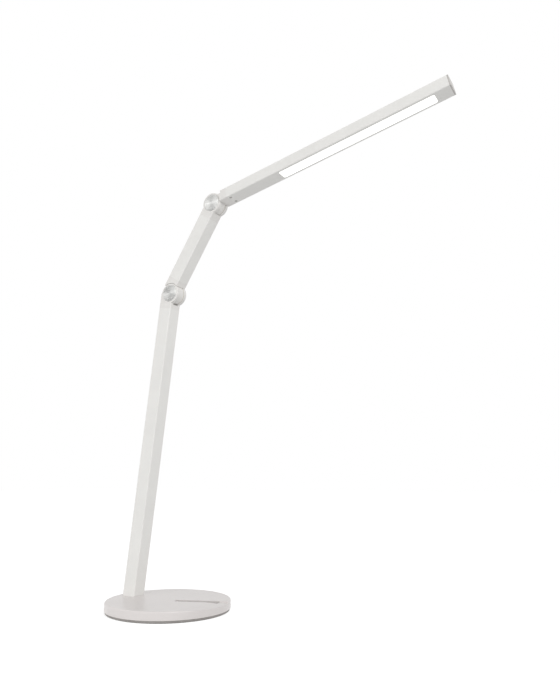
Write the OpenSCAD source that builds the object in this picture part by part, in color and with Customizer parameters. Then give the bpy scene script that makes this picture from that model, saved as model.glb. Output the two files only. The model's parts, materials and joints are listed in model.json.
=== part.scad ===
// Folding desk lamp with a light bar, a short middle arm, a leaning square pole
// and a round weighted base. The lamp folds in the plane y = 0 and reaches
// towards +X. The origin is the centre of the base on the desk.

/* [Base] */
// Diameter of the round base
base_d = 184; // [178:1:190]
// Height of the flat top of the base above the desk
base_h = 16; // [16:0.5:18]
// Radius of the rounding round the top edge
base_edge_r = 2.5; // [2:0.5:4]
// Thickness of the rubber pad under the base
pad_h = 4; // [3:0.1:4]
// How far the pad is set in from the rim
pad_inset = 1; // [0.5:0.5:4]
// Thickness of the cover's walls
cover_wall = 2.4; // [2:0.1:2.6]
// Thickness of the steel weight
weight_h = 4.2; // [3.8:0.1:4.2]

/* [Phone slot] */
// Width of the slot in the cover
slot_w = 12; // [11:0.5:13]
// Length of the slot in the cover
slot_len = 66; // [60:1:66]
// Depth of the slot in the cover
slot_depth = 6; // [5:0.5:6]
// Turn of the slot from the folding plane, in degrees
slot_turn = 20.5; // [15:0.5:25]
// Start of the slot's far wall along X
slot_x = 14; // [12:1:17]
// Start of the slot's far wall along Y
slot_y = 1.5; // [-8:0.5:2]
// Thickness of the soft liner
liner_t = 1; // [0.8:0.1:1.2]
// Where the ledge beside the slot starts to slope down, along X
ledge_x = 64; // [62:1:68]
// Slope of the ledge, in degrees
ledge_slope = 5; // [4:1:11]

/* [Pole] */
// Outer width of the square pole and of the middle arm
tube_w = 23; // [21.5:0.5:23]
// Wall thickness of the square tubes
tube_wall = 1.4; // [1.2:0.1:1.8]
// Radius of the tubes' corners
tube_corner_r = 1.2; // [0.8:0.1:2]
// Lean of the pole from upright, in degrees
pole_lean = 6.6; // [4:0.1:8]
// Length of the pole's axis from the top of the base to the lower pivot
pole_len = 471.5; // [420:0.5:500]
// Place of the pole's foot along X
foot_x = -68.5; // [-69:0.5:-64]

/* [Middle arm] */
// Lean of the middle arm from upright, in degrees
arm_lean = 32; // [25:0.5:40]
// Distance between the two pivots, along the arm
arm_len = 159; // [140:1:180]

/* [Head] */
// Lean of the head from upright, in degrees
head_lean = 77.6; // [70:0.1:88]
// Distance from the upper pivot to the tip of the head
head_len = 395.5; // [390:0.5:420]
// Width of the light bar
head_w = 28; // [27:0.5:32]
// Thickness of the light bar
head_t = 17; // [16:0.5:18]
// Height of the bar's axis over the upper pivot
head_rise = 3.7; // [3.4:0.1:4.2]
// Wall thickness of the bar's housing
housing_wall = 1.4; // [1.2:0.1:1.6]
// Radius of the bar's corners
head_corner_r = 1.5; // [1:0.1:2]
// Width of the lit window
window_w = 19.5; // [17:0.5:20]
// Start of the lit window, from the upper pivot
window_start = 124; // [120:1:140]
// End of the lit window, from the upper pivot
window_end = 371; // [350:1:372]
// Radius of the lit window's corners
window_corner_r = 3; // [1:0.5:4]
// Number of light-emitting diodes on the strip
led_count = 26; // [12:1:30]

/* [Elbows] */
// Radius of the elbow barrels
barrel_r = 16.25; // [16:0.25:16.75]
// How far the lower pivot lies in front of the axes of the pole and the arm
pivot_front = 6; // [5:0.5:6]
// Thickness of the tongue between the two ears
tongue_t = 9; // [8:0.5:9.5]
// Room for one friction washer beside the tongue
washer_room = 0.8; // [0.7:0.1:0.9]
// Radius of the pivot bolts
pivot_r = 2.5; // [2:0.5:3]
// Radius of the metal caps on the ends of the barrels
cap_r = 13.5; // [12.5:0.5:14]
// How far the caps stand proud of the ears
cap_proud = 0.8; // [0.4:0.1:1]

/* [Hidden] */
$fn = 64;
// Overshoot of a cutting body past the face it cuts
cut = 1;
// Play between a plug and the tube round it
plug_play = 0.1;
// Radius of the corners inside the tubes and on the plugs
inner_r = 0.6;
// Gap between pieces that lie against one another
seat_gap = 0.05;
// Overlap of two forms that are joined into one solid
weld = 0.1;
// Amount by which the radius of a screw's shank stays under its thread
shank_play = 0.12;

// Colours
paint = [0.90, 0.88, 0.86];
paint_shade = [0.84, 0.82, 0.80];
cap_metal = [0.80, 0.80, 0.80];
steel = [0.62, 0.63, 0.65];
rubber = [0.25, 0.25, 0.25];
liner_grey = [0.33, 0.32, 0.32];
board_green = [0.10, 0.42, 0.24];
brass = [0.80, 0.66, 0.36];
led_yellow = [0.95, 0.90, 0.55];
opal = [0.97, 0.97, 0.95];
black = [0.10, 0.10, 0.10];

// Base, from the desk up
base_r = base_d / 2;
weight_z = pad_h;
weight_top = weight_z + weight_h;
cavity_top = base_h - cover_wall;
cavity_r = base_r - cover_wall;
weight_r = cavity_r - 3.6;
slot_floor = base_h - slot_depth;
trough_wall = 1.6;
trough_bottom = slot_floor - trough_wall;
ground_bottom = trough_bottom + 0.5;
slot_corner_r = 3;
liner_drop = 0.3;
rim_gap = 0.5;
pole_hole_play = 0.2;

// Base fasteners
cover_screw_r = 1.5;
cover_boss_r = 3.6;
cover_screw_ring = base_r * 0.82;
cover_screw_angles = [50, 130, 230, 310];
cover_screw_head_r = 2.9;
cover_screw_grip = 3.6;
cover_tap = 4.5;
socket_screw_r = 2.5;
socket_screw_y = 15.5;
socket_screw_head_r = 4.6;
socket_bore_r = 5;
socket_flange_h = 4.2;
socket_flange_x = 40;
socket_flange_y = 42;
screw_head_h = 2.4;
head_room = 0.2;

// Electronics
board_t = 1.2;
board_x = 52;
board_y = 30;
board_pos = [8, 40];
spacer_h = 2.2;
spacer_r = 2.6;
board_z = weight_top + spacer_h;
board_holes = [[-22, -11], [22, -11], [0, 11]];
board_screw_r = 1.2;
board_screw_head_r = 2.1;
board_screw_head_h = 1.2;
board_hole_play = 0.15;
board_tap = 3.5;
board_grip = 3;
chip_h = 1.4;
capacitor_r = 1.5;
touch_pad_r = 4;
touch_pad_step = 15;
touch_pad_y = -9;
jack_hole_r = 3.15;
jack_pin_r = 1;
jack_w = 9;
jack_h = 8.6;
jack_depth = 14;
jack_room = 1.5;
jack_bore_depth = 11;
jack_pin_len = 9.5;
jack_snout_set_in = 0.4;
jack_snout_r = 3.9;
jack_snout_play = 0.15;
jack_drop = 0.9;
jack_z = pad_h + jack_drop + jack_h / 2;
jack_face_y = cavity_r - 1;

// Tube sections and the lengths of the castings
tube_in = tube_w - 2 * tube_wall;
plug_w = tube_in - 2 * plug_play;
seam = 24;
plug_len = 30;
tube_sink = 2;
spigot_len = 60;
cable_r = 1.6;
cable_bore_r = 2.6;
cable_gap = 5;

// Elbow geometry, measured from the pivot in the frame of a segment:
// x is the front of the segment, y its width, z its length
tube_x = -pivot_front;
ear_in = tongue_t / 2 + washer_room;
ear_out = tube_w / 2;
tongue_r = barrel_r - 0.4;
cradle_r = barrel_r + 0.4;
lower_slot_r = barrel_r + 2;
upper_slot_r = barrel_r + 0.4;
rim_chamfer = 0.6;
horn_z = 7;
cap_recess = 1;
cap_play = 0.15;
cap_ring_out = cap_r * 0.80;
cap_ring_in = cap_r * 0.74;
cap_ring_depth = 0.3;
pocket_r = 6;
pocket_depth = 3.2;
bolt_head_r = 5;
bolt_head_h = 2.8;
bolt_hex_r = 1.7;
bolt_hex_depth = 1.6;
nut_flats = 8;
nut_h = 2.3;
spring_h = 0.75;
spring_r = 5.4;
spring_metal = 0.4;
spring_play = 0.2;
washer_r = barrel_r - 0.9;
pin_play = 0.05;
washer_play = 0.04;

// Head, measured from the upper pivot in the frame of the head
head_x = -head_rise;
under_x = head_x + head_t / 2;
top_x = head_x - head_t / 2;
housing_start = 30;
end_cap_t = 2;
end_plug_len = 10;
neck_step_z = 20.5;
neck_step_x = top_x + 4.5;
neck_plug_len = 26;
neck_screw_z = housing_start + 4;
neck_screw_y = 7.5;
neck_screw_head_r = 2.3;
neck_screw_r = 1.2;
neck_screw_head_h = 0.85;
neck_screw_len = 8;
neck_hex_r = 0.8;
neck_hex_depth = 0.7;
housing_in_w = head_w - 2 * housing_wall;
housing_in_t = head_t - 2 * housing_wall;
head_plug_w = housing_in_w - 2 * plug_play;
head_plug_t = housing_in_t - 2 * plug_play;
window_mid = (window_start + window_end) / 2;
window_len = window_end - window_start;
tray_wall = 0.6;
tray_margin = 4;
tray_w = housing_in_w - tray_wall;
tray_len = window_len + 2 * tray_margin;
led_board_w = 16;
led_board_t = 1;
led_t = 0.8;
led_w = 2.8;
led_l = 3.5;
led_margin = 5;
led_step = (window_len - 2 * led_margin) / (led_count - 1);
diffuser_lip_t = 1.2;
inner_top = top_x + housing_wall;
inner_under = under_x - housing_wall;

// Pivots
lower_pivot = [
    foot_x + pole_len * sin(pole_lean) + pivot_front * cos(pole_lean),
    0,
    base_h + pole_len * cos(pole_lean) - pivot_front * sin(pole_lean)];
upper_pivot = lower_pivot + arm_len * [sin(arm_lean), 0, cos(arm_lean)]
    - pivot_front * [cos(arm_lean), 0, -sin(arm_lean)];

// --- Frames ---------------------------------------------------------------

// Puts children in the frame of a segment that leans towards +X
module leaning(pivot, lean) {
    translate(pivot) rotate([0, lean, 0]) children();
}

module pole_frame() { leaning(lower_pivot, pole_lean) children(); }
module arm_frame() { leaning(lower_pivot, arm_lean) children(); }
module arm_top_frame() { leaning(upper_pivot, arm_lean) children(); }
module head_frame() { leaning(upper_pivot, head_lean) children(); }

// Puts children in the frame of the slot: x along its far wall, y away from it
module slot_frame() {
    translate([slot_x, slot_y, 0]) rotate([0, 0, slot_turn]) mirror([0, 1, 0]) children();
}

// Turns a solid that stands on z so that it runs towards +Y from the given y
module towards_y(y) { translate([0, y, 0]) rotate([-90, 0, 0]) children(); }

// --- Shared shapes --------------------------------------------------------

module rounded_rect(x, y, r) {
    square([x - 2 * r, y], center = true);
    square([x, y - 2 * r], center = true);
    for (sx = [-1, 1], sy = [-1, 1])
        translate([sx * (x / 2 - r), sy * (y / 2 - r)]) circle(r);
}

// Bar of rounded section, centred on x, standing on z
module bar(x, y, h, r) { linear_extrude(h) rounded_rect(x, y, r); }

// Disc along y, centred on the pivot, with chamfered rims
module barrel(r, width, chamfer) {
    rotate([90, 0, 0]) rotate_extrude() polygon([
        [0, -width / 2],
        [r - chamfer, -width / 2],
        [r, -width / 2 + chamfer],
        [r, width / 2 - chamfer],
        [r - chamfer, width / 2],
        [0, width / 2]]);
}

module y_bore(r, width) { rotate([90, 0, 0]) cylinder(r = r, h = width, center = true); }

// Square tube between two places along a segment
module square_tube(from, to) {
    translate([tube_x, 0, from]) difference() {
        bar(tube_w, tube_w, to - from, tube_corner_r);
        translate([0, 0, -cut]) bar(tube_in, tube_in, to - from + 2 * cut, inner_r);
    }
}

// --- Elbow parts, in the frame of the segment that carries the fork --------

// Two ears on a block that plugs into the tube below, whose axis lies at x
module fork_casting(x, slot_r) {
    difference() {
        union() {
            barrel(barrel_r, tube_w, rim_chamfer);
            translate([x, 0, -seam]) bar(tube_w, tube_w, seam, tube_corner_r);
            translate([x, 0, -seam - plug_len]) bar(plug_w, plug_w, plug_len + cut, inner_r);
        }
        y_bore(slot_r, 2 * ear_in);
        y_bore(pivot_r + pin_play, tube_w + 2 * cut);
        for (side = [-1, 1]) scale([1, side, 1]) {
            towards_y(ear_out - cap_recess) cylinder(r = cap_r + cap_play, h = cap_recess + cut);
            towards_y(ear_out - cap_recess - pocket_depth) cylinder(r = pocket_r, h = pocket_depth + cut);
        }
        translate([x, 0, -seam - plug_len - cut]) cylinder(r = cable_bore_r, h = plug_len + seam);
    }
}

// Tongue on a shouldered block that plugs into the tube above
module knuckle_casting() {
    difference() {
        union() {
            difference() {
                translate([tube_x, 0, horn_z]) bar(tube_w, tube_w, seam - horn_z, tube_corner_r);
                y_bore(cradle_r, tube_w + 2 * cut);
            }
            barrel(tongue_r, tongue_t, rim_chamfer / 2);
            tongue_web(tube_x, tube_w, seam - 2);
            translate([tube_x, 0, seam - cut]) bar(plug_w, plug_w, plug_len + cut, inner_r);
        }
        y_bore(pivot_r + pin_play, tube_w);
        translate([tube_x, 0, cradle_r]) cylinder(r = cable_bore_r, h = plug_len + seam);
    }
}

// Web that joins a tongue to its block
module tongue_web(x, thickness, h) {
    translate([x - thickness / 2 + rim_chamfer, -tongue_t / 2, 0])
        cube([thickness - 2 * rim_chamfer, tongue_t, h]);
}

module pivot_bolt() {
    head_y = -ear_out + cap_recess + pocket_depth;
    towards_y(head_y - bolt_head_h) difference() {
        cylinder(r = bolt_head_r, h = bolt_head_h);
        translate([0, 0, -cut]) cylinder(r = bolt_hex_r, h = bolt_hex_depth + cut, $fn = 6);
    }
    towards_y(head_y) cylinder(r = pivot_r, h = ear_out - cap_recess - head_y);
}

module friction_washers() {
    for (side = [-1, 1])
        translate([0, side * (ear_in - washer_room / 2), 0]) difference() {
            y_bore(washer_r, washer_room - 2 * washer_play);
            y_bore(pivot_r + pin_play, washer_room + cut);
        }
}

// Cupped spring washer under the nut
module disc_spring() {
    towards_y(ear_out - cap_recess - pocket_depth) rotate_extrude() polygon([
        [pivot_r + spring_play, spring_h - spring_metal],
        [spring_r, 0],
        [spring_r, spring_metal],
        [pivot_r + spring_play, spring_h]]);
}

module pivot_nut() {
    towards_y(ear_out - cap_recess - pocket_depth + spring_h) difference() {
        cylinder(r = nut_flats / 2 / cos(30), h = nut_h, $fn = 6);
        translate([0, 0, -cut]) cylinder(r = pivot_r + pin_play, h = nut_h + 2 * cut);
    }
}

// Metal cap with a bevelled edge and a shallow turned ring
module hinge_cap(side) {
    cap_h = cap_recess + cap_proud;
    bevel = cap_proud * 0.6;
    scale([1, side, 1]) towards_y(ear_out - cap_recess) difference() {
        rotate_extrude() polygon([
            [0, 0],
            [cap_r, 0],
            [cap_r, cap_h - bevel],
            [cap_r - bevel, cap_h],
            [0, cap_h]]);
        translate([0, 0, cap_h - cap_ring_depth]) difference() {
            cylinder(r = cap_ring_out, h = cut);
            translate([0, 0, -cut]) cylinder(r = cap_ring_in, h = 3 * cut);
        }
    }
}

// --- Base -----------------------------------------------------------------

module foot_pad() {
    color(rubber) cylinder(r = base_r - pad_inset, h = pad_h, $fn = 128);
}

module socket_screw_places() {
    for (y = [-socket_screw_y, socket_screw_y]) translate([foot_x, y, weight_z]) children();
}

module cover_screw_places() {
    for (a = cover_screw_angles) rotate(a) translate([cover_screw_ring, 0, weight_z]) children();
}

module board_place(z) { translate([board_pos.x, board_pos.y, z]) children(); }

// Hole through the weight for a screw whose head is sunk from below
module sunk_hole(shank_r, head_r) {
    translate([0, 0, -cut]) {
        cylinder(r = shank_r + head_room, h = weight_h + 2 * cut);
        cylinder(r = head_r + head_room, h = screw_head_h + head_room + cut);
    }
}

// Screw that stands on its head, with a six-sided drive
module sunk_screw(shank_r, head_r, length) {
    translate([0, 0, weld]) difference() {
        union() {
            cylinder(r = head_r, h = screw_head_h);
            cylinder(r = shank_r - shank_play, h = length);
        }
        translate([0, 0, -cut]) cylinder(r = head_r / 3, h = screw_head_h / 2 + cut, $fn = 6);
    }
}

module base_weight() {
    color(steel) difference() {
        translate([0, 0, weight_z]) cylinder(r = weight_r, h = weight_h, $fn = 128);
        translate([-jack_w / 2 - jack_room, jack_face_y - jack_depth - jack_room, weight_z - cut])
            cube([jack_w + 2 * jack_room, base_r, weight_h + 2 * cut]);
        socket_screw_places() sunk_hole(socket_screw_r, socket_screw_head_r);
        cover_screw_places() sunk_hole(cover_screw_r, cover_screw_head_r);
        for (p = board_holes) board_place(weight_top - board_tap) translate(p)
            cylinder(r = board_screw_r, h = board_tap + cut);
    }
}

// Outer body of the cover, before it is hollowed
module cover_body() {
    rotate_extrude($fn = 128) {
        translate([0, pad_h]) square([base_r, base_h - pad_h - base_edge_r]);
        translate([0, pad_h]) square([base_r - base_edge_r, base_h - pad_h]);
        translate([base_r - base_edge_r, base_h - base_edge_r]) intersection() {
            circle(base_edge_r);
            square(base_edge_r);
        }
    }
}

// Solid ground of the ledge, in front of the slot's far wall
module ledge_ground() {
    intersection() {
        translate([0, 0, ground_bottom])
            cylinder(r = base_r - rim_gap, h = cavity_top - ground_bottom + weld, $fn = 128);
        translate([ledge_x - 3, -base_r, 0]) cube([base_r, base_d, base_h]);
        slot_frame() translate([-base_r, -2 * trough_wall, 0]) cube([2 * base_r, base_r, base_h]);
    }
}

// Everything above the sloping ledge, from a distance in front of the slot's far wall
module ledge_cutter(from) {
    intersection() {
        translate([ledge_x, 0, base_h]) rotate([0, ledge_slope, 0])
            translate([0, -base_r, 0]) cube([base_r, base_d, base_h]);
        slot_frame() translate([-base_r, from, 0]) cube([2 * base_r, base_r, 2 * base_h]);
    }
}

// Rounded block in the frame of the slot, grown by a margin on every side
module slot_block(margin, z, h) {
    slot_frame() translate([slot_len / 2, slot_w / 2, z])
        bar(slot_len + 2 * margin, slot_w + 2 * margin, h, slot_corner_r + min(margin, 0));
}

module base_cover() {
    color(paint) difference() {
        union() {
            difference() {
                cover_body();
                translate([0, 0, pad_h - cut])
                    cylinder(r = cavity_r, h = cavity_top - pad_h + cut, $fn = 128);
            }
            slot_block(trough_wall, trough_bottom, base_h - base_edge_r / 4 - trough_bottom);
            ledge_ground();
            cover_screw_places() translate([0, 0, weight_h])
                cylinder(r = cover_boss_r, h = cavity_top - weight_top + weld);
        }
        slot_block(0, slot_floor, slot_depth + cut);
        ledge_cutter(0);
        intersection() {
            pole_frame() translate([tube_x, 0, -pole_len - tube_w])
                bar(tube_w + 2 * pole_hole_play, tube_w + 2 * pole_hole_play, 2 * tube_w,
                    tube_corner_r + pole_hole_play);
            translate([foot_x - base_r / 2, -base_r / 2, cavity_top - cut]) cube([base_r, base_r, base_h]);
        }
        cover_screw_places() translate([0, 0, weight_h - cut])
            cylinder(r = cover_screw_r, h = cover_tap + cut);
        translate([0, 0, jack_z]) towards_y(base_r / 2)
            cylinder(r = jack_snout_r + jack_snout_play, h = base_r);
    }
}

module slot_liner() {
    color(liner_grey) difference() {
        slot_block(-seat_gap, slot_floor, slot_depth - liner_drop);
        slot_block(-liner_t, slot_floor + liner_t, slot_depth);
        translate([0, 0, -liner_drop]) ledge_cutter(liner_t);
    }
}

module pole_socket() {
    color(steel) difference() {
        union() {
            intersection() {
                translate([foot_x - socket_flange_x / 2, -socket_flange_y / 2, weight_top])
                    cube([socket_flange_x, socket_flange_y, socket_flange_h]);
                translate([0, 0, weight_top]) cylinder(r = cavity_r - 1, h = socket_flange_h, $fn = 128);
            }
            intersection() {
                pole_frame() translate([tube_x, 0, -pole_len - tube_w])
                    bar(plug_w, plug_w, spigot_len + tube_w, inner_r);
                translate([-base_r, -base_r, weight_top + 1]) cube([base_d, base_d, 3 * spigot_len]);
            }
        }
        pole_frame() translate([tube_x, 0, -pole_len - spigot_len / 2])
            cylinder(r = socket_bore_r, h = 2 * spigot_len);
        socket_screw_places() cylinder(r = socket_screw_r, h = base_h);
    }
}

module socket_screws() {
    color(steel) socket_screw_places()
        sunk_screw(socket_screw_r, socket_screw_head_r, weight_h + socket_flange_h - 2 * head_room);
}

module cover_screws() {
    color(steel) cover_screw_places()
        sunk_screw(cover_screw_r, cover_screw_head_r, weight_h + cover_screw_grip);
}

module control_board() {
    color(board_green) board_place(board_z) difference() {
        union() {
            translate([-board_x / 2, -board_y / 2, 0]) cube([board_x, board_y, board_t]);
            translate([-12, 2, board_t - weld]) cube([7, 7, chip_h]);
            translate([12, 3, board_t - weld]) cube([8, 6, chip_h]);
            for (x = [-20, -16, 24]) translate([x, -2, board_t - weld])
                cylinder(r = capacitor_r, h = chip_h);
        }
        for (p = board_holes) translate([p.x, p.y, -cut])
            cylinder(r = board_screw_r + board_hole_play, h = board_t + 2 * cut);
    }
}

module board_spacers() {
    color(brass) board_place(weight_top) for (p = board_holes) translate(p) difference() {
        cylinder(r = spacer_r, h = spacer_h);
        translate([0, 0, -cut]) cylinder(r = board_screw_r + board_hole_play, h = spacer_h + 2 * cut);
    }
}

module board_screws() {
    length = board_t + spacer_h + board_grip;
    color(steel) board_place(board_z + board_t) for (p = board_holes) translate(p) {
        cylinder(r = board_screw_head_r, h = board_screw_head_h);
        translate([0, 0, -length]) cylinder(r = board_screw_r - seat_gap, h = length + weld);
    }
}

module touch_pads() {
    pad_height = cavity_top - board_z - board_t - seat_gap;
    color(black) board_place(board_z + board_t) for (i = [-1, 0, 1])
        translate([i * touch_pad_step, touch_pad_y, 0]) cylinder(r = touch_pad_r, h = pad_height);
}

module dc_jack() {
    color(black) difference() {
        union() {
            translate([-jack_w / 2, jack_face_y - jack_depth, jack_z - jack_h / 2])
                cube([jack_w, jack_depth, jack_h]);
            translate([0, 0, jack_z]) towards_y(jack_face_y - cut)
                cylinder(r = jack_snout_r, h = base_r - jack_face_y + cut - jack_snout_set_in);
        }
        translate([0, 0, jack_z]) towards_y(base_r - jack_bore_depth) difference() {
            cylinder(r = jack_hole_r, h = base_r);
            translate([0, 0, -cut]) cylinder(r = jack_pin_r, h = jack_pin_len + cut);
        }
    }
}

// --- Pole and lower elbow --------------------------------------------------

module pole_tube() { color(paint) pole_frame() square_tube(-pole_len - tube_sink, -seam); }
module pole_fork() { color(paint_shade) pole_frame() fork_casting(tube_x, lower_slot_r); }

module pole_cable() {
    color(black) pole_frame() translate([tube_x, 0, -pole_len])
        cylinder(r = cable_r, h = pole_len - barrel_r - cable_gap);
}

module lower_pivot_bolt() { color(steel) pole_frame() pivot_bolt(); }
module lower_friction_washers() { color(brass) pole_frame() friction_washers(); }
module lower_disc_spring() { color(steel) pole_frame() disc_spring(); }
module lower_pivot_nut() { color(steel) pole_frame() pivot_nut(); }
module lower_cap_near() { color(cap_metal) pole_frame() hinge_cap(-1); }
module lower_cap_far() { color(cap_metal) pole_frame() hinge_cap(1); }

// --- Middle arm and upper elbow ---------------------------------------------

module arm_knuckle() { color(paint_shade) arm_frame() knuckle_casting(); }
module arm_tube() { color(paint) arm_frame() square_tube(seam, arm_len - seam); }
module arm_fork() { color(paint_shade) arm_top_frame() fork_casting(0, upper_slot_r); }

module arm_cable() {
    color(black) arm_frame() translate([tube_x, 0, barrel_r + cable_gap])
        cylinder(r = cable_r, h = arm_len - 2 * (barrel_r + cable_gap));
}

module upper_pivot_bolt() { color(steel) arm_top_frame() pivot_bolt(); }
module upper_friction_washers() { color(brass) arm_top_frame() friction_washers(); }
module upper_disc_spring() { color(steel) arm_top_frame() disc_spring(); }
module upper_pivot_nut() { color(steel) arm_top_frame() pivot_nut(); }
module upper_cap_near() { color(cap_metal) arm_top_frame() hinge_cap(-1); }
module upper_cap_far() { color(cap_metal) arm_top_frame() hinge_cap(1); }

// --- Head -----------------------------------------------------------------

// Side outline of the neck: x towards the underside, y along the head
module neck_outline() {
    polygon([
        [under_x, 0],
        [under_x, housing_start],
        [top_x, housing_start],
        [top_x, neck_step_z],
        [neck_step_x, neck_step_z],
        [neck_step_x, 0]]);
}

module head_neck() {
    color(paint) head_frame() difference() {
        union() {
            difference() {
                intersection() {
                    rotate([90, 0, 0]) linear_extrude(head_w, center = true) neck_outline();
                    translate([head_x, 0, horn_z]) bar(head_t, head_w, housing_start, head_corner_r);
                }
                y_bore(cradle_r, head_w + 2 * cut);
            }
            barrel(tongue_r, tongue_t, rim_chamfer / 2);
            tongue_web((under_x + neck_step_x) / 2, under_x - neck_step_x, neck_step_z);
            translate([head_x, 0, housing_start - cut])
                bar(head_plug_t, head_plug_w, neck_plug_len + cut, inner_r);
        }
        y_bore(pivot_r + pin_play, head_w);
        translate([head_x, 0, cradle_r - 2]) cylinder(r = cable_bore_r, h = housing_start + neck_plug_len);
        for (y = [-neck_screw_y, neck_screw_y]) neck_screw_place(y)
            translate([0, 0, -cut]) cylinder(r = neck_screw_r, h = neck_screw_len + 2 * cut);
    }
}

// Frame of a screw driven into the underside: z goes into the head
module neck_screw_place(y) {
    translate([under_x, y, neck_screw_z]) rotate([0, -90, 0]) children();
}

module neck_screws() {
    color(black) head_frame() for (y = [-neck_screw_y, neck_screw_y]) neck_screw_place(y) difference() {
        translate([0, 0, seat_gap]) {
            cylinder(r = neck_screw_head_r, h = neck_screw_head_h);
            cylinder(r = neck_screw_r - shank_play, h = neck_screw_len);
        }
        translate([0, 0, -cut]) cylinder(r = neck_hex_r, h = neck_hex_depth + cut, $fn = 6);
    }
}

// Block over the lit window, from a place along x, with play at its edges
module window_block(from, play, depth) {
    translate([from, 0, window_mid]) rotate([0, 90, 0]) linear_extrude(depth)
        rounded_rect(window_len - 2 * play, window_w - 2 * play, window_corner_r - play);
}

module head_housing() {
    length = head_len - end_cap_t - housing_start;
    color(paint) head_frame() difference() {
        translate([head_x, 0, housing_start]) bar(head_t, head_w, length, head_corner_r);
        translate([head_x, 0, housing_start - cut])
            bar(housing_in_t, housing_in_w, length + 2 * cut, inner_r);
        window_block(inner_under - cut, 0, housing_wall + 2 * cut);
        for (y = [-neck_screw_y, neck_screw_y]) neck_screw_place(y) {
            translate([0, 0, -cut])
                cylinder(r = neck_screw_head_r + weld, h = neck_screw_head_h + seat_gap + cut);
            cylinder(r = neck_screw_r + weld, h = 2 * housing_wall);
        }
    }
}

module head_end_cap() {
    color(paint_shade) head_frame() {
        translate([head_x, 0, head_len - end_cap_t]) bar(head_t, head_w, end_cap_t, head_corner_r);
        translate([head_x, 0, head_len - end_cap_t - end_plug_len])
            bar(head_plug_t, head_plug_w, end_plug_len + weld, inner_r);
    }
}

module led_board() {
    color(steel) head_frame() translate([inner_top + seat_gap, -led_board_w / 2, window_start])
        cube([led_board_t, led_board_w, window_len]);
}

module led_chips() {
    color(led_yellow) head_frame() for (i = [0 : led_count - 1])
        translate([inner_top + seat_gap + led_board_t, -led_w / 2,
                window_mid + (i - (led_count - 1) / 2) * led_step - led_l / 2])
            cube([led_t, led_w, led_l]);
}

// White frame that folds the light towards the window
module reflector_frame() {
    depth = housing_in_t - diffuser_lip_t - led_board_t - tray_wall;
    from = inner_under - diffuser_lip_t - 2 * seat_gap - depth;
    color(opal) head_frame() translate([from, 0, 0]) difference() {
        translate([0, -tray_w / 2, window_mid - tray_len / 2]) cube([depth, tray_w, tray_len]);
        translate([-cut, -tray_w / 2 + tray_wall, window_mid - tray_len / 2 + tray_wall])
            cube([depth + 2 * cut, tray_w - 2 * tray_wall, tray_len - 2 * tray_wall]);
    }
}

module head_diffuser() {
    color(opal) head_frame() {
        translate([inner_under - diffuser_lip_t - seat_gap, -tray_w / 2, window_mid - tray_len / 2])
            cube([diffuser_lip_t, tray_w, tray_len]);
        window_block(inner_under - seat_gap - weld, plug_play, housing_wall + seat_gap);
    }
}

module head_cable() {
    from = cradle_r + cable_gap;
    color(black) head_frame() translate([head_x, 0, from])
        cylinder(r = cable_r, h = window_start - tray_margin - cable_gap - from);
}

foot_pad();
base_weight();
base_cover();
slot_liner();
pole_socket();
socket_screws();
cover_screws();
control_board();
board_spacers();
board_screws();
touch_pads();
dc_jack();
pole_tube();
pole_fork();
pole_cable();
lower_pivot_bolt();
lower_friction_washers();
lower_disc_spring();
lower_pivot_nut();
lower_cap_near();
lower_cap_far();
arm_knuckle();
arm_tube();
arm_fork();
arm_cable();
upper_pivot_bolt();
upper_friction_washers();
upper_disc_spring();
upper_pivot_nut();
upper_cap_near();
upper_cap_far();
head_neck();
neck_screws();
head_housing();
head_end_cap();
led_board();
led_chips();
reflector_frame();
head_diffuser();
head_cable();
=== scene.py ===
"""Looks of a folding desk lamp: a light bar on two friction elbows over a round base.

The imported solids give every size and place. This script gives them their finishes,
makes the pieces whose detail is finer than those solids, and sets up a plain studio.
Units are metres, in the frame of the solids: +Z up, and the lamp reaches towards +X.
"""
import json
import logging
import math
from dataclasses import dataclass
from enum import Enum

import bmesh
import bpy
from mathutils import Matrix, Vector


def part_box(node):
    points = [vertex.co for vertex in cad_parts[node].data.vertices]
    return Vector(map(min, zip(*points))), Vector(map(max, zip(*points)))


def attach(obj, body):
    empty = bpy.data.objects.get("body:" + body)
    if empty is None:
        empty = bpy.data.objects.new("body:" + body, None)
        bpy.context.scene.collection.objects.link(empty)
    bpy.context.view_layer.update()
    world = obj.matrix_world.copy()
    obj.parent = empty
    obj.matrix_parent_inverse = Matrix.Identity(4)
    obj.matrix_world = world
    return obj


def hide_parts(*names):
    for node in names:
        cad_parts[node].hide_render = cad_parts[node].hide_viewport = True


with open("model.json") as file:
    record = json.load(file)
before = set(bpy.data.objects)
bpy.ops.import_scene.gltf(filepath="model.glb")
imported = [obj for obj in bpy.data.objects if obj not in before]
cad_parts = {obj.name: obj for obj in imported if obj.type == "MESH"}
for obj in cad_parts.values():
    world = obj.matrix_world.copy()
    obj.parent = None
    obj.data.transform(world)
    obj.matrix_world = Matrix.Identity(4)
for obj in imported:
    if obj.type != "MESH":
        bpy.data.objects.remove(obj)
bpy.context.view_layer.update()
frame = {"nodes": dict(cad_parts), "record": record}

MM = 0.001
# Vertices closer than this are one.
WELD = 0.001 * MM
# Edges that turn more than this stay crisp in the shading, in degrees.
CRISP_ANGLE = 35
# Noise runs from 0 to 1 but rarely strays beyond these values.
CLOUD_SPAN = (0.35, 0.65)
RELIEF_SPAN = (0.25, 0.75)
LEAST_ROUGHNESS = 0.02
log = logging.getLogger("desk_lamp")


# --- Small helpers -----------------------------------------------------------


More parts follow.
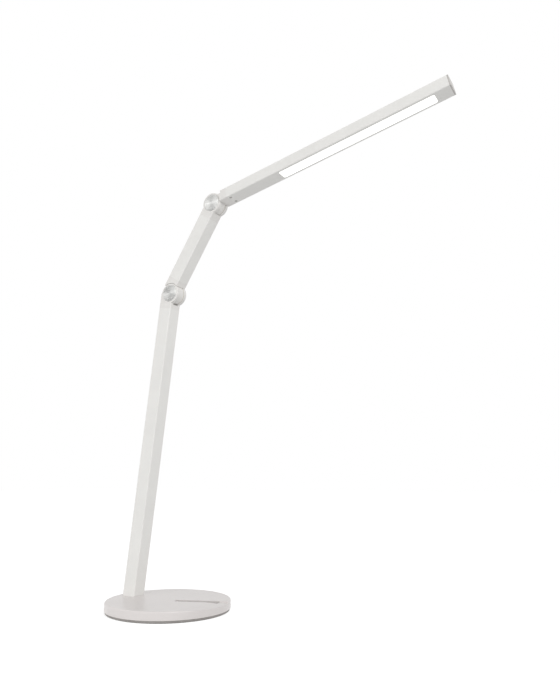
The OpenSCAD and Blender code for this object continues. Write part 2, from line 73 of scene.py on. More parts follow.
def srgb(code: str) -> tuple[float, float, float, float]:
    """Turns an sRGB hex colour into the linear values that shaders work in.

    Args:
        code: Six hex digits, such as "E6E3E0".

    Returns:
        Red, green, blue and an alpha of 1.
    """
    parts = [int(code[i:i + 2], 16) / 255 for i in (0, 2, 4)]
    linear = [c / 12.92 if c <= 0.04045 else ((c + 0.055) / 1.055) ** 2.4 for c in parts]
    return (*linear, 1.0)


def add_node(tree: bpy.types.NodeTree, kind: str, settings: dict | None = None,
             links: dict | None = None) -> bpy.types.Node:
    """Adds one node with its settings and its incoming links.

    Args:
        tree: The node tree that gets the node.
        kind: The node's type name.
        settings: Values by attribute name, or by the name or number of an input.
        links: Output sockets by the name or number of the input that they feed.

    Returns:
        The new node.
    """
    node = tree.nodes.new(kind)
    for key, value in (settings or {}).items():
        if isinstance(key, str) and hasattr(node, key):
            setattr(node, key, value)
        else:
            node.inputs[key].default_value = value
    for key, source in (links or {}).items():
        tree.links.new(source, node.inputs[key])
    return node


def per_metre(pitch_mm: float) -> float:
    """Scale of a noise pattern whose marks lie this many millimetres apart."""
    return 1 / (pitch_mm * MM)


def pivot_of(joint: str) -> Vector:
    """Place of a joint's pivot in the frame of the solids."""
    joints = frame["record"]["behaviour"]["joints"]
    return Vector(next(j["pos_m"] for j in joints if j["name"] == joint))


def middle(node: str) -> Vector:
    """Middle of a solid's box at rest."""
    low, high = (Vector(corner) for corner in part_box(node))
    return (low + high) / 2


# --- Finishes ------------------------------------------------------------------


@dataclass(frozen=True)
class Finish:
    """A surface, named for what it is made of and how it was made.

    Attributes:
        name: The material's name.
        colour: Its main colour, as sRGB hex.
        shade: The colour that a wide, faint mottle runs to.
        roughness: Middle roughness.
        metallic: 1 for bare metal.
        ior: Index of refraction.
        mottle_mm: Width of the mottle's clouds.
        grain_mm: Distance between the marks of the fine relief.
        relief_mm: Height of the fine relief.
        swing: How far the roughness strays from its middle.
        edge_mm: Radius to which the light rounds sharp edges, or 0.
    """

    name: str
    colour: str
    shade: str
    roughness: float
    metallic: float = 0.0
    ior: float = 1.5
    mottle_mm: float = 45.0
    grain_mm: float = 1.0
    relief_mm: float = 0.01
    swing: float = 0.05
    edge_mm: float = 0.0

    def material(self) -> bpy.types.Material:
        """Builds the material once, and gives the same one on later calls."""
        made = bpy.data.materials.get(self.name)
        if made:
            return made
        made = bpy.data.materials.new(self.name)
        made.use_nodes = True
        tree = made.node_tree
        tree.nodes.clear()
        place = add_node(tree, "ShaderNodeTexCoord").outputs["Object"]
        surface = add_node(tree, "ShaderNodeBsdfPrincipled", {
            "Metallic": self.metallic,
            "IOR": self.ior,
        })
        colour = self.colour_nodes(tree, place)
        tree.links.new(colour, surface.inputs["Base Color"])
        height = self.relief_nodes(tree, place)
        self.gloss_nodes(tree, surface, height)
        self.bump_nodes(tree, surface, height)
        self.extras(tree, surface, place)
        add_node(tree, "ShaderNodeOutputMaterial", links={"Surface": surface.outputs[0]})
        # The lit window is faint beside the lamps, so rays need not aim at it.
        made.cycles.emission_sampling = "NONE"
        return made

    def colour_nodes(self, tree: bpy.types.NodeTree,
                     place: bpy.types.NodeSocket) -> bpy.types.NodeSocket:
        """Mixes the main colour and its shade over wide clouds.

        Args:
            tree: The material's node tree.
            place: The point that is shaded.

        Returns:
            The colour.
        """
        clouds = add_node(tree, "ShaderNodeTexNoise", {
            "Scale": per_metre(self.mottle_mm),
            "Detail": 3.0,
            "Roughness": 0.55,
        }, {"Vector": place})
        spread = add_node(tree, "ShaderNodeMapRange", {
            "From Min": CLOUD_SPAN[0],
            "From Max": CLOUD_SPAN[1],
        }, {"Value": clouds.outputs[0]})
        mixed = add_node(tree, "ShaderNodeMix", {
            "data_type": "RGBA",
            6: srgb(self.colour),
            7: srgb(self.shade),
        }, {0: spread.outputs[0]})
        return mixed.outputs[2]

    def relief_nodes(self, tree: bpy.types.NodeTree,
                     place: bpy.types.NodeSocket) -> bpy.types.NodeSocket:
        """Makes the fine relief, from 0 to 1 over its height.

        Args:
            tree: The material's node tree.
            place: The point that is shaded.

        Returns:
            The height.
        """
        grain = add_node(tree, "ShaderNodeTexNoise", {
            "Scale": per_metre(self.grain_mm),
            "Detail": 2.0,
            "Roughness": 0.5,
        }, {"Vector": place})
        return grain.outputs[0]

    def gloss_nodes(self, tree: bpy.types.NodeTree, surface: bpy.types.Node,
                    height: bpy.types.NodeSocket) -> None:
        """Lets the roughness follow the relief, duller in its hollows.

        Args:
            tree: The material's node tree.
            surface: The surface shader.
            height: The fine relief.
        """
        swung = add_node(tree, "ShaderNodeMapRange", {
            "From Min": RELIEF_SPAN[0],
            "From Max": RELIEF_SPAN[1],
            "To Min": self.roughness + self.swing,
            "To Max": max(self.roughness - self.swing, LEAST_ROUGHNESS),
        }, {"Value": height})
        tree.links.new(swung.outputs[0], surface.inputs["Roughness"])

    def bump_nodes(self, tree: bpy.types.NodeTree, surface: bpy.types.Node,
                   height: bpy.types.NodeSocket) -> None:
        """Turns the relief into bumps, over edges that the light finds rounded.

        Args:
            tree: The material's node tree.
            surface: The surface shader.
            height: The fine relief.
        """
        bump = add_node(tree, "ShaderNodeBump", {
            "Strength": 1.0,
            "Distance": self.relief_mm * MM,
        }, {"Height": height})
        if self.edge_mm:
            edge = add_node(tree, "ShaderNodeBevel", {
                "samples": 4,
                "Radius": self.edge_mm * MM,
            })
            tree.links.new(edge.outputs[0], bump.inputs["Normal"])
        tree.links.new(bump.outputs[0], surface.inputs["Normal"])

    def extras(self, tree: bpy.types.NodeTree, surface: bpy.types.Node,
               place: bpy.types.NodeSocket) -> None:
        """Adds what only one kind of surface has; a plain one has nothing more."""


@dataclass(frozen=True)
class TurnedMetal(Finish):
    """Metal faced on a lathe, so its tool marks run in rings round an axis along Y.

    Attributes:
        centre: A point on the axis.
        anisotropy: How far a highlight is drawn out across the rings.
    """

    centre: tuple[float, float, float] = (0.0, 0.0, 0.0)
    anisotropy: float = 0.7

    def relief_nodes(self, tree: bpy.types.NodeTree,
                     place: bpy.types.NodeSocket) -> bpy.types.NodeSocket:
        """Makes rings round the axis instead of a grain.

        Args:
            tree: The material's node tree.
            place: The point that is shaded.

        Returns:
            The height.
        """
        moved = add_node(tree, "ShaderNodeMapping", {
            "Location": tuple(-c for c in self.centre),
        }, {"Vector": place})
        # A ring pattern repeats every 2 pi / 20 units at a scale of 1.
        rings = add_node(tree, "ShaderNodeTexWave", {
            "wave_type": "RINGS",
            "rings_direction": "Y",
            "wave_profile": "SIN",
            "Scale": 2 * math.pi / 20 * per_metre(self.grain_mm),
            "Distortion": 0.6,
            "Detail": 1.0,
            "Detail Scale": 1.5,
        }, {"Vector": moved.outputs[0]})
        return rings.outputs[1]

    def extras(self, tree: bpy.types.NodeTree, surface: bpy.types.Node,
               place: bpy.types.NodeSocket) -> None:
        """Draws highlights out across the rings, as the tool's fine grooves do.

        Args:
            tree: The material's node tree.
            surface: The surface shader.
            place: The point that is shaded.
        """
        surface.inputs["Anisotropic"].default_value = self.anisotropy
        offset = add_node(tree, "ShaderNodeVectorMath", {
            "operation": "SUBTRACT",
            1: self.centre,
        }, {0: place})
        outward = add_node(tree, "ShaderNodeVectorMath", {
            "operation": "MULTIPLY",
            1: (1.0, 0.0, 1.0),
        }, {0: offset.outputs[0]})
        turned = add_node(tree, "ShaderNodeVectorTransform", {
            "vector_type": "VECTOR",
            "convert_from": "OBJECT",
            "convert_to": "WORLD",
        }, {0: outward.outputs[0]})
        unit = add_node(tree, "ShaderNodeVectorMath", {
            "operation": "NORMALIZE",
        }, {0: turned.outputs[0]})
        tree.links.new(unit.outputs[0], surface.inputs["Tangent"])


@dataclass(frozen=True)
class LitAcrylic(Finish):
    """Opal acrylic with the strip of diodes shining through it.

    Attributes:
        glow: Strength of the light that leaves it.
        light: Colour of the light along the middle of the window.
        edge_light: Its colour along the window's long edges.
        half_width: Half the window's width, in metres.
        even_share: Share of the half width over which the light is even.
    """

    glow: float = 1.0
    light: str = "FFFEFB"
    edge_light: str = "F5F4F1"
    half_width: float = 0.01
    even_share: float = 0.6

    def extras(self, tree: bpy.types.NodeTree, surface: bpy.types.Node,
               place: bpy.types.NodeSocket) -> None:
        """Makes the window glow, a little less near its long edges.

        Args:
            tree: The material's node tree.
            surface: The surface shader.
            place: The point that is shaded.
        """
        across = add_node(tree, "ShaderNodeSeparateXYZ", links={0: place})
        away = add_node(tree, "ShaderNodeMath", {
            "operation": "ABSOLUTE",
        }, {0: across.outputs[1]})
        falling = add_node(tree, "ShaderNodeMapRange", {
            "interpolation_type": "SMOOTHSTEP",
            "From Min": self.half_width * self.even_share,
            "From Max": self.half_width,
        }, {"Value": away.outputs[0]})
        light = add_node(tree, "ShaderNodeMix", {
            "data_type": "RGBA",
            6: srgb(self.light),
            7: srgb(self.edge_light),
        }, {0: falling.outputs[0]})
        tree.links.new(light.outputs[2], surface.inputs["Emission Color"])
        surface.inputs["Emission Strength"].default_value = self.glow


@dataclass(frozen=True)
class CircuitBoard(Finish):
    """Glass-fibre laminate under green solder mask, with copper tracks and black chips.

    Attributes:
        track_mm: Distance between neighbouring tracks.
        track_width: Width of a track, as a share of that distance.
        track_run: Length of a track before it turns, in such distances.
        top: Height of the board's upper face; what stands higher is a chip.
        skin_mm: How far above that face a chip begins.
        track: Colour of the mask over a track.
        chip: Colour of a chip's moulded package.
    """

    track_mm: float = 1.6
    track_width: float = 0.18
    track_run: float = 5.0
    top: float = 0.0
    skin_mm: float = 0.05
    track: str = "2E8A57"
    chip: str = "1B1C1E"

    def colour_nodes(self, tree: bpy.types.NodeTree,
                     place: bpy.types.NodeSocket) -> bpy.types.NodeSocket:
        """Draws tracks under the mask and turns what stands on the board black.

        Args:
            tree: The material's node tree.
            place: The point that is shaded.

        Returns:
            The colour.
        """
        tracks = add_node(tree, "ShaderNodeTexBrick", {
            "offset": 0.5,
            "Color1": srgb(self.colour),
            "Color2": srgb(self.shade),
            "Mortar": srgb(self.track),
            "Scale": 1.0,
            "Mortar Size": self.track_width * self.track_mm * MM,
            "Mortar Smooth": 0.1,
            "Brick Width": self.track_run * self.track_mm * MM,
            "Row Height": self.track_mm * MM,
        }, {"Vector": place})
        height = add_node(tree, "ShaderNodeSeparateXYZ", links={0: place})
        raised = add_node(tree, "ShaderNodeMath", {
            "operation": "GREATER_THAN",
            1: self.top + self.skin_mm * MM,
        }, {0: height.outputs[2]})
        mixed = add_node(tree, "ShaderNodeMix", {
            "data_type": "RGBA",
            7: srgb(self.chip),
        }, {0: raised.outputs[0], 6: tracks.outputs[0]})
        return mixed.outputs[2]


@dataclass(frozen=True)
class PhosphorChip(Finish):
    """White moulded diode packages with a yellow phosphor fill in the middle.

    Attributes:
        fill: Colour of the phosphor.
        half_fill: Half the fill's width across the strip, in metres.
    """

    fill: str = "F2D95C"
    half_fill: float = 0.001

    def colour_nodes(self, tree: bpy.types.NodeTree,
                     place: bpy.types.NodeSocket) -> bpy.types.NodeSocket:
        """Colours the middle of each package as phosphor.

        Args:
            tree: The material's node tree.
            place: The point that is shaded.

        Returns:
            The colour.
        """
        package = super().colour_nodes(tree, place)
        across = add_node(tree, "ShaderNodeSeparateXYZ", links={0: place})
        inside = add_node(tree, "ShaderNodeMath", {
            "operation": "COMPARE",
            1: 0.0,
            2: self.half_fill,
        }, {0: across.outputs[1]})
        mixed = add_node(tree, "ShaderNodeMix", {
            "data_type": "RGBA",
            7: srgb(self.fill),
        }, {0: inside.outputs[0], 6: package})
        return mixed.outputs[2]


# Polyester powder baked on extruded aluminium: satin, with a faint orange peel whose
# dimples are about 1 mm apart.
POWDER_COAT = Finish("powder_coated_aluminium", "EAE9E6", "E7E6E3", 0.42,
                     grain_mm=1.1, relief_mm=0.012, edge_mm=0.35)
# The same powder on die castings, whose skin under it is a little rougher.
CAST_COAT = Finish("powder_coated_die_casting", "E6E4E1", "E3E1DE", 0.45,
                   grain_mm=1.6, relief_mm=0.016, edge_mm=0.4)
# The moulded plug that closes the bar. Its grey, deeper than the bar's, is painted shade that
# stands in for the shadow on the bar's rounded end face.
SHADED_CAP_ABS = Finish("moulded_abs_plug", "C3C0BD", "BFBCB9", 0.5,
                 grain_mm=0.6, relief_mm=0.006, mottle_mm=20, edge_mm=0.4)
# ABS moulded in a tool with a fine spark-eroded grain, then sprayed satin to match, so
# that the top mirrors the pole's foot softly. The real grain is near 0.1 mm and is drawn
# at 0.6 mm, so that it shows at all.
SPRAYED_ABS = Finish("sprayed_moulded_abs", "E0DBD9", "DDD8D6", 0.32,
                     grain_mm=0.6, relief_mm=0.006, mottle_mm=70, edge_mm=0.4)
# Moulded nitrile rubber: mid grey, dull and slightly dusty.
MOULDED_RUBBER = Finish("moulded_nitrile_rubber", "A39F9C", "989491", 0.82,
                        ior=1.52, grain_mm=0.9, relief_mm=0.03, mottle_mm=12)
# Soft silicone in the slot, a shade deeper than the cover: that deeper tone is painted shade
# for the shadow along the slot's far wall.
SHADED_SILICONE = Finish("moulded_silicone", "D0CCCA", "CAC6C4", 0.7,
                       ior=1.42, grain_mm=0.8, relief_mm=0.02, mottle_mm=9)
# Bright zinc on pressed steel, with the soft clouds of a passivated coat.
ZINC_PLATE = Finish("zinc_plated_steel", "B9BCC2", "A4A8AD", 0.34, metallic=1.0,
                    grain_mm=0.7, relief_mm=0.006, mottle_mm=8, swing=0.08)
# Zinc on rolled plate: the same coat over faint scale from rolling.
ROLLED_PLATE = Finish("zinc_plated_rolled_steel", "A9ACB0", "94989D", 0.45, metallic=1.0,
                      grain_mm=2.2, relief_mm=0.02, mottle_mm=22, swing=0.1)
# Hardened spring steel, oiled, with a blue-grey temper.
SPRING_STEEL = Finish("tempered_spring_steel", "7F858E", "6A7079", 0.38, metallic=1.0,
                      grain_mm=0.5, relief_mm=0.004, mottle_mm=5)
# Acetal washers: waxy, natural white going to ivory.
ACETAL = Finish("machined_acetal", "E4DFCF", "D9D3C0", 0.5, ior=1.48,
                grain_mm=0.5, relief_mm=0.006, mottle_mm=6)
# Brass spacers with the dull gold of a turned, unpolished bar.
TURNED_BRASS = Finish("turned_brass", "C9A45A", "B48F49", 0.32, metallic=1.0,
                      grain_mm=0.4, relief_mm=0.005, mottle_mm=4)
# Carbon-filled foam pads: deep grey cells about half a millimetre wide.
CARBON_FOAM = Finish("carbon_filled_foam", "2C2C2E", "1E1E20", 0.9,
                     grain_mm=0.5, relief_mm=0.12, mottle_mm=2)
# Nickel on the small screws under the neck: grey, with a soft shine.
NICKEL_SCREW = Finish("nickel_plated_screw", "AAA9A5", "9E9D99", 0.4, metallic=0.85,
                      grain_mm=0.4, relief_mm=0.004, mottle_mm=3)
# Glass-filled nylon of the power inlet: black, with glints of fibre.
BLACK_NYLON = Finish("glass_filled_nylon", "1D1D1F", "262628", 0.5, ior=1.53,
                     grain_mm=0.45, relief_mm=0.02, mottle_mm=4, swing=0.1)
# Nickel on the inlet's contacts.
NICKEL_PLATE = Finish("nickel_plated_brass", "CBC6BC", "B8B2A6", 0.2, metallic=1.0,
                      grain_mm=0.4, relief_mm=0.002, mottle_mm=3)
# Extruded PVC sheath of the wires: black, with a slight draw line.
PVC_SHEATH = Finish("extruded_pvc", "202022", "2A2A2C", 0.45, ior=1.53,
                    grain_mm=2.5, relief_mm=0.03, mottle_mm=15)
# White solder mask over the aluminium core of the diode strip.
WHITE_MASK = Finish("white_masked_aluminium_core", "EFEFEC", "E4E4E0", 0.35,
                    grain_mm=1.4, relief_mm=0.008, mottle_mm=7)
# Glossy white polycarbonate of the reflector.
WHITE_POLYCARBONATE = Finish("moulded_polycarbonate", "F2F2EF", "ECECE8", 0.25,
                             ior=1.58, grain_mm=3.0, relief_mm=0.01)
DIODE = PhosphorChip("phosphor_filled_diode", "EDEDE8", "E2E2DC", 0.35,
                     grain_mm=0.5, relief_mm=0.01, half_fill=1.0 * MM)


def machined_cap(centre: Vector) -> TurnedMetal:
    """Bright turned aluminium for the caps of one elbow.

    Args:
        centre: The elbow's pivot.

    Returns:
        A finish whose rings run round that pivot. The real tool marks are near 0.1 mm
        apart and are drawn at 0.35 mm.
    """
    return TurnedMetal(f"turned_aluminium_{round(centre.z / MM)}", "EAEAE8", "E4E4E2", 0.42,
                       metallic=1.0, grain_mm=0.35, relief_mm=0.004, swing=0.04,
                       mottle_mm=9, centre=tuple(centre), anisotropy=0.9)


# --- Making and dressing pieces ---------------------------------------------------


def dress(finish: Finish, *nodes: str) -> None:
    """Gives solids their finish.

    Args:
        finish: What they are made of.
        nodes: Names of the solids.
    """
    for node in nodes:
        solid = frame["nodes"][node]
        solid.data.materials.clear()
        solid.data.materials.append(finish.material())
        log.info("%s is %s", node, finish.name)


def piece(name: str, mesh: bmesh.types.BMesh, finish: Finish, body: str) -> bpy.types.Object:
    """Ends the making of a piece: closes its mesh, dresses it and lets it ride.

    Args:
        name: The piece's name.
        mesh: Its mesh, in the frame of the solids.
        finish: What it is made of.
        body: The body that it moves with.

    Returns:
        The finished piece.
    """
    bmesh.ops.remove_doubles(mesh, verts=mesh.verts, dist=WELD)
    bmesh.ops.recalc_face_normals(mesh, faces=mesh.faces)
    data = bpy.data.meshes.new(name)
    mesh.to_mesh(data)
    mesh.free()
    made = bpy.data.objects.new(name, data)
    bpy.context.scene.collection.objects.link(made)
    data.materials.append(finish.material())
    data.set_sharp_from_angle(angle=math.radians(CRISP_ANGLE))
    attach(made, body)
    log.info("%s: %d faces, rides on %s", name, len(data.polygons), body)
    return made


def turned(outline: list[tuple[float, float]], steps: int = 96) -> bmesh.types.BMesh:
    """Spins an outline into a closed solid round Z.

    Args:
        outline: Points of radius and height in millimetres, from axis to axis.
        steps: Number of steps in the full turn.

    Returns:
        The mesh, in metres, with its axis on Z.
    """
    mesh = bmesh.new()
    points = [mesh.verts.new((r * MM, 0, h * MM)) for r, h in outline]
    edges = [mesh.edges.new(pair) for pair in zip(points, points[1:])]
    bmesh.ops.spin(mesh, geom=points + edges, cent=(0, 0, 0), axis=(0, 0, 1),
                   angle=2 * math.pi, steps=steps, use_merge=True)
    bmesh.ops.remove_doubles(mesh, verts=mesh.verts, dist=WELD)
    return mesh


class Side(Enum):
    """The two sides of an elbow; the value is the sign of Y."""

    NEAR = -1
    FAR = 1


# --- Base --------------------------------------------------------------------------


@dataclass
class Base:
    """The round foot: rubber pad, steel weight, cover, slot and electronics.

    Attributes:
        body: The body that it is part of.
        pad_steps: Steps in the pad's full turn.
        pad_lip: Width and height of the pad's rounded lower edge, in millimetres.
        lip_turns: Angles along that rounding, in degrees.
        tread_rings: Number of grooves under the pad.
        tread_start: Where the first groove begins, in distances between grooves.
        tread_groove: Width of a groove at the pad's face, in millimetres.
        tread_flank: Width of each of its sloping sides, in millimetres.
        tread_depth: Its depth, in millimetres.
        board_mm: Thickness of the control board.
        pin_steps: Steps in the inlet pin's full turn.
        pin_mm: Length and radius of the inlet pin.
        pin_tip_mm: Length and end radius of its tapered tip.
        pin_setback: How far inside the inlet's mouth the pin starts, in millimetres.
    """

    body: str = "base"
    pad_steps: int = 128
    pad_lip: tuple[float, float] = (3.2, 2.2)
    lip_turns: tuple[int, ...] = (22, 45, 68, 90)
    tread_rings: int = 5
    tread_start: float = 0.6
    tread_groove: float = 2.6
    tread_flank: float = 0.4
    tread_depth: float = 0.6
    board_mm: float = 1.2
    pin_steps: int = 24
    pin_mm: tuple[float, float] = (9.75, 1.06)
    pin_tip_mm: tuple[float, float] = (0.55, 0.75)
    pin_setback: float = 10.5

    def build(self) -> None:
        """Makes the base's own pieces and dresses its solids."""
        self.make_pad()
        self.make_inlet()
        self.dress_solids()

    def make_pad(self) -> None:
        """Turns the rubber pad with ridges underneath, in place of the plain disc."""
        low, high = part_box("foot_pad")
        radius = (high[0] - low[0]) / 2 / MM
        thick = (high[2] - low[2]) / MM
        step = radius / (self.tread_rings + 2)
        lip_wide, lip_high = self.pad_lip
        outline = [(0, thick), (radius, thick), (radius, lip_high)]
        outline += [(radius - lip_wide * (1 - math.cos(a)), lip_high * (1 - math.sin(a)))
                    for a in (math.radians(turn) for turn in self.lip_turns)]
        for ring in range(self.tread_rings):
            outer = radius - step * (ring + self.tread_start)
            inner = outer - self.tread_groove
            outline += [(outer, 0), (outer - self.tread_flank, self.tread_depth),
                        (inner + self.tread_flank, self.tread_depth), (inner, 0)]
        outline.append((0, 0))
        pad = piece("rubber_pad", turned(outline, self.pad_steps), MOULDED_RUBBER, self.body)
        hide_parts("foot_pad")

    def make_inlet(self) -> None:
        """Adds the centre pin's nickel sleeve to the power inlet."""
        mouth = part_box("dc_jack")[1][1]
        centre = middle("dc_jack")
        length, radius = self.pin_mm
        taper, tip_radius = self.pin_tip_mm
        sleeve = turned([(0, 0), (radius, 0), (radius, length - taper),
                         (tip_radius, length), (0, length)], self.pin_steps)
        place = Matrix.Translation((centre.x, mouth - self.pin_setback * MM, centre.z))
        bmesh.ops.transform(sleeve, matrix=place @ Matrix.Rotation(-math.pi / 2, 4, "X"),
                            verts=sleeve.verts)
        pin = piece("inlet_centre_pin", sleeve, NICKEL_PLATE, self.body)

    def dress_solids(self) -> None:
        """Gives the base's solids their finishes."""
        board_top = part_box("control_board")[0][2] + self.board_mm * MM
        laminate = CircuitBoard("solder_masked_laminate", "14593A", "176341", 0.3,
                                grain_mm=1.2, relief_mm=0.01, top=board_top)
        dress(SPRAYED_ABS, "base_cover")
        # The liner's deeper tone is painted shade for the slot's shadow line.
        dress(SHADED_SILICONE, "slot_liner")
        dress(ROLLED_PLATE, "base_weight", "pole_socket")
        dress(ZINC_PLATE, "socket_screws", "cover_screws", "board_screws")
        dress(laminate, "control_board")
        dress(TURNED_BRASS, "board_spacers")
        dress(CARBON_FOAM, "touch_pads")
        dress(BLACK_NYLON, "dc_jack")


# --- Elbows --------------------------------------------------------------------------


@dataclass
class Elbow:
    """A friction hinge: two ears, a tongue, and the bolt, washers and caps that hold it.

    Attributes:
        name: "lower" or "upper", as in the names of its solids.
        body: The body that carries the ears.
        groove: Inner and outer radius of the turned groove, in millimetres.
        groove_depth: Its depth, in millimetres.
        groove_flank: Width of each of its sloping sides, in millimetres.
        dish: Depth of the cap's shallow cone, in millimetres.
        bevel: Size of the cap's bevelled edge, in millimetres.
        bevel_round: How full the bevel is: the share of its size left at its middle.
    """

    name: str
    body: str
    groove: tuple[float, float] = (11.0, 11.7)
    groove_depth: float = 0.3
    groove_flank: float = 0.15
    dish: float = 0.5
    bevel: float = 0.45
    bevel_round: float = 0.3

    def build(self) -> None:
        """Makes the two caps and dresses the hinge's inner parts."""
        for side in Side:
            self.make_cap(side)
        dress(ZINC_PLATE, f"{self.name}_pivot_bolt", f"{self.name}_pivot_nut")
        dress(ACETAL, f"{self.name}_friction_washers")
        dress(SPRING_STEEL, f"{self.name}_disc_spring")

    def make_cap(self, side: Side) -> None:
        """Turns one cap: a bevelled rim, a groove and a shallow cone inside it.

        Args:
            side: The side of the elbow that it closes.
        """
        node = f"{self.name}_cap_{side.name.lower()}"
        low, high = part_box(node)
        radius = (high[0] - low[0]) / 2 / MM
        thick = (high[1] - low[1]) / MM
        inner, outer = self.groove
        groove_floor = thick - self.groove_depth
        cut = self.bevel * self.bevel_round
        outline = [
            (0, 0),
            (radius, 0),
            (radius, thick - self.bevel),
            (radius - cut, thick - cut),
            (radius - self.bevel, thick),
            (outer, thick),
            (outer - self.groove_flank, groove_floor),
            (inner + self.groove_flank, groove_floor),
            (inner, thick),
            (0, thick - self.dish),
        ]
        mesh = turned(outline)
        foot = high[1] if side is Side.NEAR else low[1]
        centre = middle(node)
        place = Matrix.Translation((centre.x, foot, centre.z))
        turn = Matrix.Rotation(-side.value * math.pi / 2, 4, "X")
        bmesh.ops.transform(mesh, matrix=place @ turn, verts=mesh.verts)
        finish = machined_cap(pivot_of(f"{self.name}_elbow"))
        cap = piece(f"{self.name}_elbow_cap_{side.name.lower()}", mesh, finish, self.body)
        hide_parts(node)


# --- Pole, arm and head ---------------------------------------------------------------


@dataclass
class Pole:
    """The long square tube, its fork and the wire inside it."""

    def build(self) -> None:
        """Dresses the pole's solids."""
        dress(POWDER_COAT, "pole_tube")
        dress(CAST_COAT, "pole_fork")
        dress(PVC_SHEATH, "pole_cable")


@dataclass
class MiddleArm:
    """The short square tube between the elbows, with its knuckle and fork."""

    def build(self) -> None:
        """Dresses the arm's solids."""
        dress(POWDER_COAT, "arm_tube")
        dress(CAST_COAT, "arm_knuckle", "arm_fork")
        dress(PVC_SHEATH, "arm_cable")


@dataclass
class Head:
    """The light bar: neck, housing, diode strip, reflector and lit window.

    Attributes:
        window_half: Half the width of the lit window, in metres.
        glow: Strength of the light that leaves the window.
    """

    window_half: float = 9.65 * MM
    glow: float = 0.95

    def build(self) -> None:
        """Dresses the head's solids."""
        lit = LitAcrylic("opal_acrylic_lit", "F4F4F1", "F0F0ED", 0.3, ior=1.49,
                         grain_mm=4.0, relief_mm=0.004, glow=self.glow,
                         half_width=self.window_half)
        dress(POWDER_COAT, "head_housing")
        dress(CAST_COAT, "head_neck")
        # The end plug's deeper grey is painted shade for the bar's end face.
        dress(SHADED_CAP_ABS, "head_end_cap")
        dress(NICKEL_SCREW, "neck_screws")
        dress(WHITE_MASK, "led_board")
        dress(DIODE, "led_chips")
        dress(WHITE_POLYCARBONATE, "reflector_frame")
        dress(lit, "head_diffuser")
        dress(PVC_SHEATH, "head_cable")


# --- Studio -----------------------------------------------------------------------------


@dataclass(frozen=True)
class SoftBox:
    """A square, soft lamp.

    Attributes:
        name: Its name.
        place: Where it stands.
        size: Length of its side.
        power: Power in watts.
        mirrored: Whether gloss and metal show the lamp itself.
    """

    name: str
    place: tuple[float, float, float]
    size: float
    power: float
    mirrored: bool = True

    def light(self, target: Vector) -> None:
        """Adds the lamp, turned to what it lights.

        Args:
            target: The point that it faces.
        """
        data = bpy.data.lights.new(self.name, "AREA")
        data.shape = "SQUARE"
        data.size = self.size
        data.energy = self.power
        lamp = bpy.data.objects.new(self.name, data)
        bpy.context.scene.collection.objects.link(lamp)
        lamp.location = self.place
        lamp.rotation_euler = (target - lamp.location).to_track_quat("-Z", "Y").to_euler()
        lamp.visible_camera = False
        lamp.visible_glossy = self.mirrored


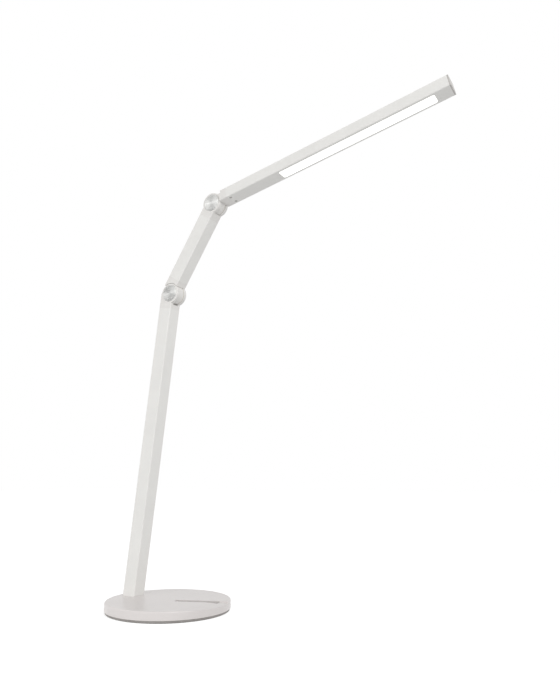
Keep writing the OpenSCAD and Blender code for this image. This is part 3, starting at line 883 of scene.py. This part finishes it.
@dataclass(frozen=True)
class Studio:
    """Pale floor, white surroundings, soft lamps and the camera.

    Attributes:
        ambient: Strength of the surroundings as a light.
        floor_half: Half the length of the floor's side.
        floor_colour: Colour of the floor, as sRGB hex.
        floor_lift: Light that the camera sees the floor give off, so that it is white.
        image: Width and height of the photograph in pixels.
        azimuth: Turn of the camera round the lamp from straight in front, in degrees.
        pitch: How far the camera looks down, in degrees; below zero it looks up.
        distance: Distance from the camera to the middle of the base.
        focal_px: Focal length in pixels.
        base_px: Where the middle of the base, on the floor, lies in the photograph.
        sensor_mm: Sensor size that goes with the taller side of the image.
        target: The point that the lamps face.
        card: Two opposite corners of the dark card that the metal mirrors.
        card_colour: Colour of that card, as sRGB hex.
    """

    ambient: float = 0.565
    floor_half: float = 8.0
    floor_colour: str = "D8D8D8"
    floor_lift: float = 0.64
    image: tuple[int, int] = (560, 700)
    azimuth: float = 29.765
    pitch: float = -11.246
    distance: float = 1.03771
    focal_px: float = 644.6
    base_px: tuple[float, float] = (168.10, 610.575)
    sensor_mm: float = 36.0
    target: tuple[float, float, float] = (0.1, 0.0, 0.4)
    card: tuple[tuple[float, float, float], tuple[float, float, float]] = (
        (-1.05, -0.95, 0.0), (-0.1, -1.4, 0.78))
    card_colour: str = "202020"

    def build(self) -> None:
        """Sets up everything that isn't part of the lamp."""
        self.make_floor()
        self.make_surroundings()
        for box in (
            SoftBox("soft_box_right", (2.4, -0.6, 0.9), 1.2, 10.6),
            SoftBox("soft_box_high", (1.8, -1.4, 1.8), 1.2, 18.2),
            SoftBox("soft_box_low", (-0.45, -1.1, 0.12), 0.5, 5.4, mirrored=False),
        ):
            box.light(Vector(self.target))
        self.make_card()
        self.place_camera()
        bpy.context.scene.view_settings.view_transform = "Standard"

    def make_floor(self) -> None:
        """Lays a pale floor that keeps the shadow and shows white to the camera."""
        mesh = bmesh.new()
        bmesh.ops.create_grid(mesh, x_segments=1, y_segments=1, size=self.floor_half)
        data = bpy.data.meshes.new("studio_floor")
        mesh.to_mesh(data)
        mesh.free()
        floor = bpy.data.objects.new("studio_floor", data)
        bpy.context.scene.collection.objects.link(floor)
        paper = bpy.data.materials.new("matte_white_paper")
        paper.use_nodes = True
        tree = paper.node_tree
        tree.nodes.clear()
        paint = add_node(tree, "ShaderNodeBsdfDiffuse", {"Color": srgb(self.floor_colour)})
        lift = add_node(tree, "ShaderNodeEmission", {"Strength": self.floor_lift})
        both = add_node(tree, "ShaderNodeAddShader", links={
            0: paint.outputs[0], 1: lift.outputs[0]})
        seen = self.seen_directly(tree)
        mixed = add_node(tree, "ShaderNodeMixShader", links={
            0: seen, 1: paint.outputs[0], 2: both.outputs[0]})
        add_node(tree, "ShaderNodeOutputMaterial", links={"Surface": mixed.outputs[0]})
        # What the floor gives off lights nothing, so no ray is spent on aiming at it.
        paper.cycles.emission_sampling = "NONE"
        data.materials.append(paper)

    def make_card(self) -> None:
        """Stands up a black card that nothing but gloss and metal shows."""
        mesh = bmesh.new()
        bmesh.ops.create_grid(mesh, x_segments=1, y_segments=1, size=0.5)
        low, high = (Vector(corner) for corner in self.card)
        bmesh.ops.scale(mesh, vec=((high - low).xy.length, high.z - low.z, 1), verts=mesh.verts)
        bmesh.ops.rotate(mesh, matrix=Matrix.Rotation(math.pi / 2, 3, "X"), verts=mesh.verts)
        turn = math.atan2(high.y - low.y, high.x - low.x)
        bmesh.ops.rotate(mesh, matrix=Matrix.Rotation(turn, 3, "Z"), verts=mesh.verts)
        bmesh.ops.translate(mesh, vec=(low + high) / 2, verts=mesh.verts)
        data = bpy.data.meshes.new("studio_card")
        mesh.to_mesh(data)
        mesh.free()
        card = bpy.data.objects.new("studio_card", data)
        bpy.context.scene.collection.objects.link(card)
        felt = bpy.data.materials.new("black_felt")
        felt.use_nodes = True
        felt.node_tree.nodes.clear()
        dark = add_node(felt.node_tree, "ShaderNodeBsdfDiffuse", {
            "Color": srgb(self.card_colour)})
        add_node(felt.node_tree, "ShaderNodeOutputMaterial", links={"Surface": dark.outputs[0]})
        data.materials.append(felt)
        for ray in ("camera", "diffuse", "transmission", "shadow"):
            setattr(card, f"visible_{ray}", False)

    def seen_directly(self, tree: bpy.types.NodeTree) -> bpy.types.NodeSocket:
        """Tells rays that see the background from rays that only light things.

        Args:
            tree: The node tree that asks.

        Returns:
            1 for camera, mirror and glass rays, otherwise 0.
        """
        path = add_node(tree, "ShaderNodeLightPath")
        mirror = add_node(tree, "ShaderNodeMath", {"operation": "MAXIMUM"}, {
            0: path.outputs["Is Camera Ray"], 1: path.outputs["Is Glossy Ray"]})
        glass = add_node(tree, "ShaderNodeMath", {"operation": "MAXIMUM"}, {
            0: mirror.outputs[0], 1: path.outputs["Is Transmission Ray"]})
        return glass.outputs[0]

    def make_surroundings(self) -> None:
        """Makes the surroundings white to the eye, and a softer light on the lamp."""
        world = bpy.data.worlds.new("white_studio")
        bpy.context.scene.world = world
        world.use_nodes = True
        tree = world.node_tree
        tree.nodes.clear()
        seen = self.seen_directly(tree)
        strength = add_node(tree, "ShaderNodeMapRange", {
            "To Min": self.ambient,
            "To Max": 1.0,
        }, {"Value": seen})
        sky = add_node(tree, "ShaderNodeBackground", {"Color": (1, 1, 1, 1)},
                       {"Strength": strength.outputs[0]})
        add_node(tree, "ShaderNodeOutputWorld", links={0: sky.outputs[0]})

    def place_camera(self) -> None:
        """Stands the camera where the photograph was taken from."""
        turn, tilt = math.radians(self.azimuth), math.radians(self.pitch)
        back = Vector((math.sin(turn) * math.cos(tilt), -math.cos(turn) * math.cos(tilt),
                       math.sin(tilt)))
        right = Vector((math.cos(turn), math.sin(turn), 0))
        up = back.cross(right)
        across = (self.base_px[0] - self.image[0] / 2) / self.focal_px
        down = (self.base_px[1] - self.image[1] / 2) / self.focal_px
        ray = (right * across - up * down - back).normalized()
        data = bpy.data.cameras.new("camera")
        data.sensor_width = self.sensor_mm
        data.lens = self.focal_px * self.sensor_mm / max(self.image)
        camera = bpy.data.objects.new("camera", data)
        bpy.context.scene.collection.objects.link(camera)
        turned_to = Matrix((right, up, back)).transposed().to_4x4()
        camera.matrix_world = Matrix.Translation(-ray * self.distance) @ turned_to
        bpy.context.scene.camera = camera


def main() -> None:
    """Builds the sub-assemblies in order, then the studio."""
    logging.basicConfig(level=logging.INFO, format="%(name)s: %(message)s")
    for part in (Base(), Pole(), Elbow("lower", "base"), MiddleArm(),
                 Elbow("upper", "middle_arm"), Head(), Studio()):
        log.info("building %s", type(part).__name__)
        part.build()


if __name__ == "__main__":
    main()
